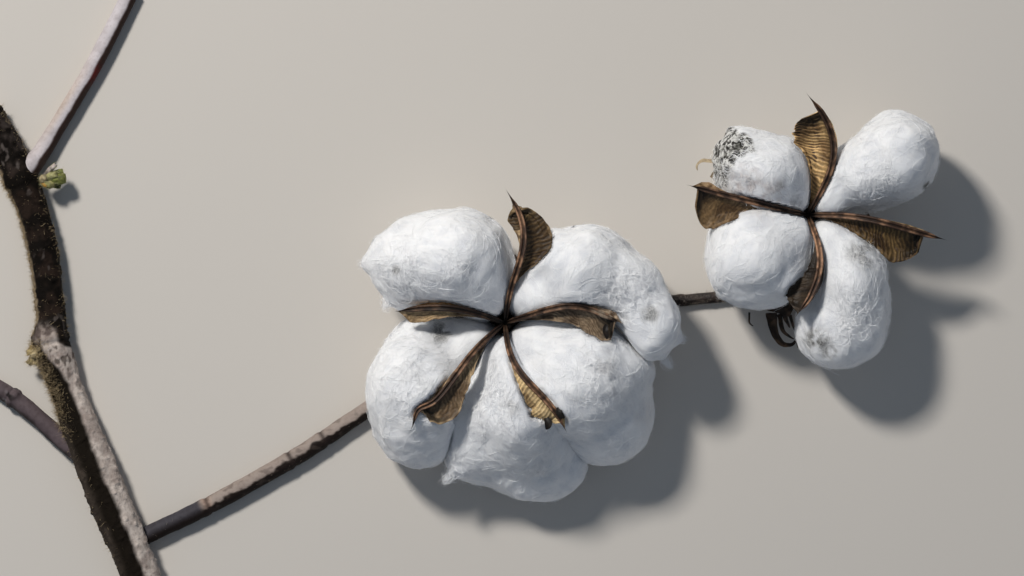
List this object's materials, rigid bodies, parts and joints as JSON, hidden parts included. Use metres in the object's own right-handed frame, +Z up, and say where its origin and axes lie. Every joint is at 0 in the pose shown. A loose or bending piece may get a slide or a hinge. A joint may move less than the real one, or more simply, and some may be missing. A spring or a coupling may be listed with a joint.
{
  "type": "cotton branch with two open bolls",
  "caption": "Cut length of ripe cotton plant lying flat: a rough main stem with short side branches and a thin fruiting branch that carries open bolls of white cotton locks in dry brown burrs.",
  "frame": {"origin": "on the surface that the branch lies on, under the middle of its outline seen from above", "axes": "+X along its greatest length, from the main stem to the bolls; +Y towards the upper end of the main stem; +Z up, out of the open faces of the bolls"},
  "size_m": [0.2744, 0.1738, 0.0405],
  "materials": {
    "stem_bark": "rough dry bark, dark red-brown above and grey below, with short hairs",
    "pale_twig_bark": "smooth pale grey-pink bark",
    "dark_twig_bark": "smooth dark grey bark",
    "branch_bark": "grey-tan bark, darker and hairy towards its tip",
    "bud": "hairy yellow-green",
    "stalk": "dry and very dark brown",
    "burr": "dry papery brown wall with a darker ridge",
    "bract": "dry curled dark brown",
    "cotton": "white loose fibre"
  },
  "bodies": {
    "root": {"main_stem": "stem_bark", "upper_branch": "pale_twig_bark", "left_branch": "dark_twig_bark", "fruiting_branch": "branch_bark", "upper_bud": "bud", "lower_bud": "bud", "boll_1_stalk": "stalk", "boll_1_valve_1": "burr", "boll_1_valve_2": "burr", "boll_1_valve_3": "burr", "boll_1_valve_4": "burr", "boll_1_valve_5": "burr", "boll_1_bract_1": "bract", "boll_1_bract_2": "bract", "boll_1_bract_3": "bract", "boll_1_lock_1": "cotton", "boll_1_lock_2": "cotton", "boll_1_lock_3": "cotton", "boll_1_lock_4": "cotton", "boll_1_lock_5": "cotton", "boll_2_stalk": "stalk", "boll_2_valve_1": "burr", "boll_2_valve_2": "burr", "boll_2_valve_3": "burr", "boll_2_valve_4": "burr", "boll_2_bract_1": "bract", "boll_2_bract_2": "bract", "boll_2_bract_3": "bract", "boll_2_lock_1": "cotton", "boll_2_lock_2": "cotton", "boll_2_lock_3": "cotton", "boll_2_lock_4": "cotton"}
  },
  "joints": []
}
